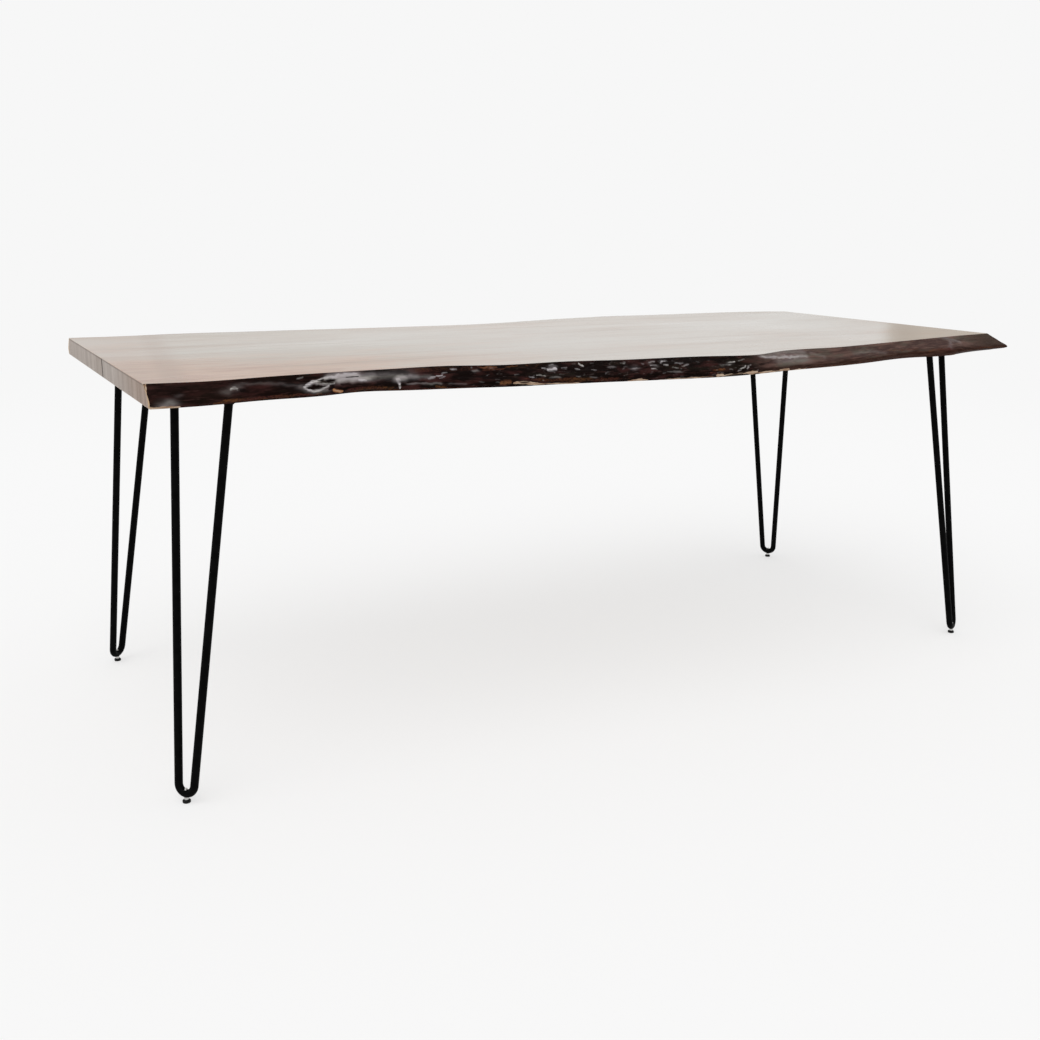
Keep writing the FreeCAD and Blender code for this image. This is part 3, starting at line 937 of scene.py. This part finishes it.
def weld_beads(corner, seed):
    """The two rippled beads under one plate, as one piece."""
    foot, level, side = leg_axes(corner)
    dice = np.random.default_rng(seed)
    around = full_turn(bead_rings)[:, None]
    section = full_turn(bead_sides)[None, :]
    i, j = np.meshgrid(np.arange(bead_rings), np.arange(bead_sides), indexing="ij")
    a, b, k = i * bead_sides, (i + 1) % bead_rings * bead_sides, (j + 1) % bead_sides
    quads = np.stack([a + j, b + j, b + k, a + k], axis=-1).reshape(-1, 4)
    points, faces = [], []
    for end in (-1, 1):
        centre = foot + level * bar_splay + side * (end * half_spread)
        swing = ripple_swing * np.sin(around * 2 + dice.uniform(0, 6))
        bulge = np.abs(np.sin(around * ripple_count / 2 + swing)) ** ripple_roundness
        size = bead_size + ripple_size * bulge
        ring = bar_radius + size * np.cos(section)
        height = np.minimum(bar_top, bar_top - bead_drop + size * np.sin(section))
        faces += (len(points) + quads).tolist()
        bead = [centre.x + ring * np.cos(around), centre.y + ring * np.sin(around), height]
        points += np.stack(bead, axis=-1).reshape(-1, 3).tolist()
    mesh = bpy.data.meshes.new(corner + "_weld_beads")
    mesh.from_pydata(points, [], faces)
    smooth_with_arrises(mesh, degrees=180)
    piece = new_object(corner + "_weld_beads", mesh)
    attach(piece, "root")
    return piece


welds = [weld_beads(corner, first_seed + index) for index, corner in enumerate(corner_names)]
print([(weld.name, len(weld.data.polygons)) for weld in welds])

# %% [markdown]
# Wood looks alike on every face of a board because one pattern runs through it: the rings of
# the tree. Here they stand nearly upright, so they show as long streaks on the top and as
# upright bands on the sawn ends. The pattern is written once, from the distance across the
# board with a slow bend along it, and both finishes read it.

# %% The rings in the wood
def ring_pattern(tree, point):
    """Broad bands and fine lines of the wood, each from 0 to 1."""
    bend = point.stretched(1.1, 2.5, 2.5).noise(detail=2)
    x, y, z = point.axes()
    across = y + bend * 0.09 + z * 0.12 + x * 0.012
    level = tree.node("CombineXYZ", {}, {0: x * 0.35, 1: across, 2: z * 0.6})
    broad = level.stretched(1.0, 42.0, 1.0).noise(detail=3, rough=0.55)
    fine = level.stretched(3.0, 260.0, 6.0).noise(detail=2, rough=0.6)
    return broad, fine


def bumps(tree, strength, distance, height):
    """The normal of a surface with fine bumps, as deep as distance in metres."""
    return tree.node("Bump", {}, {"Strength": strength, "Distance": distance, "Height": height})


def kept_mask(tree, name):
    """A mask that was kept with the points of the mesh."""
    return tree.node("Attribute", {"attribute_name": name}, {}, "Fac")


print("wood pattern ready")

# %% [markdown]
# The top is planed, sanded and oiled, and half shines. Its colour drifts from warm tan at the
# front left to a paler beige, with reddish dashes in the tan part, and a darker line near the left
# end. At the right end a darker tip, with a dark line across it, is a painted reflection of
# something dark. A photograph of planks would repeat itself here. Noise that is drawn out along
# the boards doesn't, and each drift can be put where the real top has it. The gleam of the oil is
# a coat, weaker at the front left and at the right end.

# %% The planed top
beige, warm_tan, olive_beige = (0.405, 0.345, 0.275), (0.455, 0.287, 0.192), (0.385, 0.365, 0.305)
fleck_brown, end_brown, line_brown = (0.31, 0.225, 0.165), (0.36, 0.255, 0.185), (0.29, 0.185, 0.120)
grain_brown, dash_red, pore_brown = (0.27, 0.170, 0.112), (0.30, 0.125, 0.075), (0.14, 0.080, 0.055)
tip_reflection_olive, tip_reflection_brown = (0.345, 0.255, 0.165), (0.245, 0.175, 0.110)
left_cut_slant = 0.137

top_finish, tree, point = new_finish("oiled_top")
x, y = point.axes()[:2]
broad, fine = ring_pattern(tree, point)
fibre = point.stretched(14.0, 900.0, 500.0).noise(detail=2, rough=0.6)
cloud = point.stretched(1.7, 4.5, 1.0).noise(detail=3, rough=0.55)
wisp = point.stretched(2.6, 22.0, 12.0).noise(detail=3, rough=0.6, warp=0.3)
dash = point.stretched(11.0, 120.0, 60.0).noise(detail=2, rough=0.6, warp=0.2)
billow = point.stretched(4.5, 15.0, 4.0).noise(detail=4, rough=0.6, warp=0.4)
mottle = point.stretched(20.0, 60.0, 20.0).noise(detail=3, rough=0.65, warp=0.3)
pores = point.stretched(34.0, 900.0, 600.0).noise(detail=1)

to_right = (x + (cloud - 0.5) * 0.8).above(-1.05, 0.10)
to_back = (y + (wisp - 0.5) * 0.35).above(-0.32, 0.12)
front_left = (1 - to_right) * (1 - to_back)
from_end = x - y * left_cut_slant
near_end = 1 - from_end.above(-0.97, -0.88)
near_line = from_end.above(-0.945, -0.915) * (1 - from_end.above(-0.905, -0.865))
# At the right end the top is painted darker, in a tip and a line: a painted reflection of something dark.
from_tip = x - y
far_tip = from_tip.above(0.96, 1.06)
tip_line = from_tip.above(0.98, 1.05) * (1 - from_tip.above(1.06, 1.15))
drift = (cloud - 0.5) * 1.2 + (billow - 0.5) * 1.1 + (mottle - 0.5) * 0.9

colour = (front_left + near_end * 0.35 + drift).above(0.0, 0.9).mix(beige, warm_tan)
colour = ((1 - cloud).above(0.46, 0.68) * 0.45).mix(colour, olive_beige)
colour = (mottle.above(0.56, 0.74) * 0.30).mix(colour, fleck_brown)
colour = (near_end * 0.45).mix(colour, end_brown)
colour = (near_line * (0.5 + (billow - 0.5) * 0.8)).mix(colour, line_brown)
dark_grain = broad * 0.35 + wisp * 0.35 + fine * 0.3
colour = (dark_grain.above(0.46, 0.64) * (0.42 + front_left * 0.16)).mix(colour, grain_brown)
colour = (dash.above(0.53, 0.67) * (front_left * 0.75 + 0.12)).mix(colour, dash_red)
colour = (pores.above(0.66, 0.76) * 0.4).mix(colour, pore_brown)
# The painted reflection at the right end, as colour.
colour = (far_tip * 0.5).mix(colour, tip_reflection_olive)
colour = (tip_line * 0.45).mix(colour, tip_reflection_brown)
rough = 0.27 + (wisp - 0.5) * 0.08 + fine * 0.04 + far_tip * 0.1
duller = front_left * 0.32 + far_tip * 0.6 + x.above(0.60, 1.00) * 0.16 + y.above(0.28, 0.42) * 0.12
shine = 0.20 + x.above(-0.85, 0.0) * 0.27 - duller + (0.5 - cloud) * 0.55 + (0.5 - wisp) * 0.3
gleam = shine.node("Clamp", {}, {"Value": shine})
bump = bumps(tree, 0.12, 0.0002, fibre * 0.4 + fine * 0.6)
finish_with(tree, Base_Color=colour, Roughness=rough, Normal=bump, Coat_Weight=gleam)
print("top finish", len(tree.tree.nodes), "nodes")

# %% [markdown]
# The ends are sawn across the grain and sanded, so the rings show as upright bands, and the
# pores as dots. Three things give them their look: a dark line under the top arris, the dark
# glue line between the boards, painted wide as the shade of the groove where they meet, and a
# warm rind of young wood on the outside. The rind follows the live edge, so its place comes from
# two masks that the boards keep.

# %% The sawn ends
pale_band, warm_band = (0.43, 0.375, 0.335), (0.360, 0.270, 0.218)
dark_band, dark_warm_band = (0.32, 0.270, 0.238), (0.240, 0.170, 0.132)
ring_brown, dot_brown, arris_brown = (0.21, 0.165, 0.135), (0.18, 0.14, 0.115), (0.13, 0.095, 0.075)
glue_and_shade_brown, rind_tan = (0.026, 0.018, 0.015), (0.56, 0.375, 0.20)

end_finish, tree, point = new_finish("sawn_end")
y, z = point.axes()[1:]
broad, fine = ring_pattern(tree, point)
band = point.stretched(1.0, 42.0, 4.0).noise(detail=3, rough=0.6)
pores = point.stretched(900.0, 900.0, 900.0).noise(detail=1)
warm = (1 - y).above(1.08, 1.36)
light, dark = warm.mix(pale_band, warm_band), warm.mix(dark_band, dark_warm_band)
colour = (broad * 0.25 + band * 0.75).above(0.36, 0.64).mix(dark, light)
colour = (fine.above(0.48, 0.72) * 0.35).mix(colour, ring_brown)
colour = (pores.above(0.6, 0.72) * 0.3).mix(colour, dot_brown)
under_arris = (z - (top_height - 0.0045)).above(0.0, 0.002)
colour = (under_arris * 0.7).mix(colour, arris_brown)
# The glue line is painted wide and nearly black: a dark joint, and the painted shade of the groove between
# the boards.
glue_gap = (y - glue_line).maths("ABSOLUTE")
colour = (1 - glue_gap.above(0.0042, 0.0060)).mix(colour, glue_and_shade_brown)
out_arris, out_nose = (kept_mask(tree, name) for name in ("out_arris", "out_nose"))
# From the arris the rind first bows out to the nose, and then turns back under it
drop = (top_height - z) * (1 / thickness)
bow = drop * (2.3 - drop * 1.42)
rind = out_arris + (out_nose - out_arris) * bow - glue_gap
colour = ((1 - rind.above(0.006, 0.014)) * 0.75).mix(colour, rind_tan)
bump = bumps(tree, 0.3, 0.0003, fine + pores)
finish_with(tree, Base_Color=colour, Roughness=0.62, Normal=bump, Specular_IOR_Level=0.3)
print("end finish", len(tree.tree.nodes), "nodes")

# %% [markdown]
# The live edge is stained almost black, darkest in its cracks and hollows, and bare where the
# saw touched it. The tints made with the relief pick the colour: cream where the pale wood shows,
# rust where the stain is thin, dark in the cracks, and pale grey for the painted glints and
# painted sheen that a glossy edge shows. To the right of the middle the edge is smoother and
# browner, and lighter, partly as painted light. First come the noises, then the two grounds,
# stained and brown.

# %% The ground of the live edge
live_finish, tree, point = new_finish("stained_live_edge")
masks = {name: kept_mask(tree, name) for name in (*tints, "height_share")}
x, share = point.axes()[0], masks["height_share"]
streak = point.stretched(34.0, 160.0, 420.0).noise(detail=3, rough=0.6, warp=0.3)
blotch = point.stretched(18.0, 18.0, 70.0).noise(detail=3, rough=0.6)
patch = point.stretched(7.0, 7.0, 85.0).noise(detail=3, rough=0.6, warp=0.9)
hue = point.stretched(9.0, 30.0, 45.0).noise(scale=1.3, detail=2)
speck = point.stretched(260.0, 260.0, 520.0).noise(detail=2, rough=0.6)
glint = point.stretched(60.0, 200.0, 380.0).noise(detail=3, rough=0.65)

# To the right the edge is smoother and browner; its lighter colour there is partly painted light.
brown_and_lit_side = x.above(0.15, 0.28)
rough_zone = x.above(-0.47, -0.38) * (1 - brown_and_lit_side)
olive_share = hue.above(0.52, 0.64) * (0.25 + x.above(-0.86, -0.70) * 0.25)
maroon_share = (1 - x.above(-0.90, -0.68)) * blotch.above(0.30, 0.56) * 0.45
stain_and_glints = blotch.above(0.46, 0.68).mix((0.0050, 0.0026, 0.0021), (0.034, 0.0118, 0.0104))
stain_and_glints = olive_share.mix(stain_and_glints, (0.0140, 0.0105, 0.0068))
stain_and_glints = maroon_share.mix(stain_and_glints, (0.026, 0.0100, 0.0085))
stain_and_glints = (streak.above(0.54, 0.72) * 0.5).mix(stain_and_glints, (0.058, 0.027, 0.023))
# Faint grey specks in the rough stretch are painted glints.
stain_and_glints = (glint.above(0.60, 0.76) * rough_zone * 0.40).mix(stain_and_glints, (0.20, 0.16, 0.15))

low_brown = streak.above(0.35, 0.7).mix((0.024, 0.010, 0.007), (0.058, 0.028, 0.020))
grey_brown = hue.above(0.42, 0.60).mix((0.138, 0.082, 0.068), (0.094, 0.078, 0.062))
high_brown = patch.above(0.38, 0.62).mix((0.060, 0.035, 0.031), grey_brown)
high_brown = (streak.above(0.50, 0.72) * 0.5).mix(high_brown, (0.170, 0.098, 0.078))
high_brown = (x.above(0.86, 0.98) * 0.8).mix(high_brown, (0.046, 0.030, 0.022))
upper = (share + patch * 0.35 - x.above(0.50, 0.70) * 0.12).above(0.40, 0.64)
ground = brown_and_lit_side.mix(stain_and_glints, upper.mix(low_brown, high_brown))
print("ground of the live edge", len(tree.tree.nodes), "nodes")

# %% [markdown]
# The tints go over the ground in this order: thin stain first, then the painted sheen, the
# painted glints, the bare wood, and the dark of the cracks last. Noise breaks each tint up. The
# stain lies dry, so the edge hardly shines, and its highlights are painted into its colour.

# %% The tints of the live edge
rust_dark, rust_orange, rust_bright = (0.070, 0.021, 0.017), (0.105, 0.042, 0.016), (0.34, 0.165, 0.075)
warm_part = hue.above(0.40, 0.62)
# Pale greys for the painted sheen and the painted glints.
sheen_grey = warm_part.mix((0.40, 0.360, 0.365), (0.42, 0.395, 0.370))
glint_grey = warm_part.mix((0.50, 0.465, 0.480), (0.52, 0.495, 0.465))
bare_wood = streak.above(0.35, 0.6).mix((0.26, 0.15, 0.09), (0.50, 0.38, 0.28))
crack_black = (0.0065, 0.0036, 0.0032)

rust = masks["rust"] * (0.45 + speck.above(0.3, 0.65) * 0.75)
rust_tint = hue.above(0.38, 0.60).mix(rust_dark, rust_orange)
rust_tint = masks["rust"].above(0.60, 1.05).mix(rust_tint, rust_bright)
colour = rust.above(0.10, 0.75).mix(ground, rust_tint)
# Painted sheen, broken up by noise.
cloudy = blotch.above(0.25, 0.70) * 0.30 + streak.above(0.25, 0.75) * 0.25 + 0.66
colour = (masks["haze"] * cloudy).maths("MINIMUM", 1.0).mix(colour, sheen_grey)
# Painted glints: pale grey highlights, broken up by noise.
glint_breakup = glint.above(0.36, 0.60) * 0.80 + 0.32
colour = (masks["pale"] * glint_breakup).maths("MINIMUM", 1.0).mix(colour, glint_grey)
cream = (masks["cream"] + (speck - 0.5) * 0.5).above(0.25, 0.75)
colour = (cream * masks["cream"].above(0.0, 0.3)).mix(colour, bare_wood)
colour = masks["dark"].above(0.1, 0.85).mix(colour, crack_black)
bump = bumps(tree, 0.6, 0.0008, streak + speck * 0.5)
finish_with(tree, Base_Color=colour, Roughness=0.5, Normal=bump, Specular_IOR_Level=0.008)
for board in boards:
    for finish in (top_finish, live_finish, end_finish):
        board.data.materials.append(finish)
print("boards finished")

# %% [markdown]
# The hairpin legs are steel bar with a black powder coat, which is matt and has the faint skin
# of an orange. The plates have the same coat. Hardly any light comes back from it. The skin is
# fine noise in the bump, and a slower one moves the black a little.

# %% The coated steel
coat_finish, tree, point = new_finish("black_powder_coat")
peel = point.noise(scale=900.0, detail=2)
shade = point.noise(scale=60.0, detail=2)
colour = shade.above(0.3, 0.7).mix((0.0006, 0.0006, 0.0006), (0.0020, 0.0020, 0.0020))
bump = bumps(tree, 0.35, 0.0002, peel)
finish_with(tree, Base_Color=colour, Roughness=0.5, Normal=bump, Specular_IOR_Level=0.03)
print("coat ready")

# %% [markdown]
# The studs are zinc plated and bright. Turning leaves fine lines round them, so their noise is
# drawn out level. The screws in the plates are zinc plated too, and blackened, which leaves
# them dark and a little mottled.

# %% The plated studs and screws
steel_finish, tree, point = new_finish("plated_steel")
brush = point.stretched(40.0, 40.0, 3000.0).noise(detail=2)
colour = brush.mix((0.46, 0.46, 0.45), (0.60, 0.59, 0.57))
finish_with(tree, Base_Color=colour, Roughness=0.28 + brush * 0.15, Metallic=1.0)

screw_finish, tree, point = new_finish("black_zinc")
mottle = point.noise(scale=1400.0, detail=2)
colour = mottle.above(0.3, 0.7).mix((0.085, 0.085, 0.088), (0.150, 0.148, 0.145))
finish_with(tree, Base_Color=colour, Roughness=0.30 + mottle * 0.15, Metallic=1.0)
print("studs and screws ready")

# %% [markdown]
# The glides are moulded in black nylon, with the fine grain of the mould. The tenons inside the
# glue line are plain hardwood, and are seen only when the top is taken apart.

# %% The nylon glides and the tenons
nylon_finish, tree, point = new_finish("black_nylon")
grain = point.noise(scale=2500.0, detail=2)
colour = grain.mix((0.004, 0.004, 0.004), (0.009, 0.009, 0.009))
bump = bumps(tree, 0.2, 0.0001, grain)
finish_with(tree, Base_Color=colour, Roughness=0.5, Normal=bump, Specular_IOR_Level=0.12)

tenon_finish, tree, point = new_finish("plain_tenon")
fibre = point.stretched(900.0, 14.0, 900.0).noise(detail=2)
colour = fibre.mix((0.42, 0.29, 0.18), (0.55, 0.40, 0.26))
finish_with(tree, Base_Color=colour, Roughness=0.6)
print("nylon and tenons ready")

# %% [markdown]
# Every piece now gets its finish. The new pieces take theirs directly. A CAD node is known by
# the end of its name, so one table serves all four legs, and the bars and studs that were drawn
# again keep a finish on their CAD nodes too.

# %% A finish for every piece
node_finishes = {"_leg_rod": coat_finish, "_leg_plate": coat_finish, "_leg_screws": screw_finish,
                 "_foot_stud": steel_finish, "_foot_glide": nylon_finish, "_tenons": tenon_finish}


def give_finish(piece, finish):
    """This finish alone on a piece."""
    piece.data.materials.clear()
    piece.data.materials.append(finish)


for stud in studs:
    give_finish(stud, steel_finish)
for piece in bars + welds:
    give_finish(piece, coat_finish)
for name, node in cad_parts.items():
    for ending, finish in node_finishes.items():
        if name.endswith(ending):
            give_finish(node, finish)
print("finishes", sorted(material.name for material in bpy.data.materials))
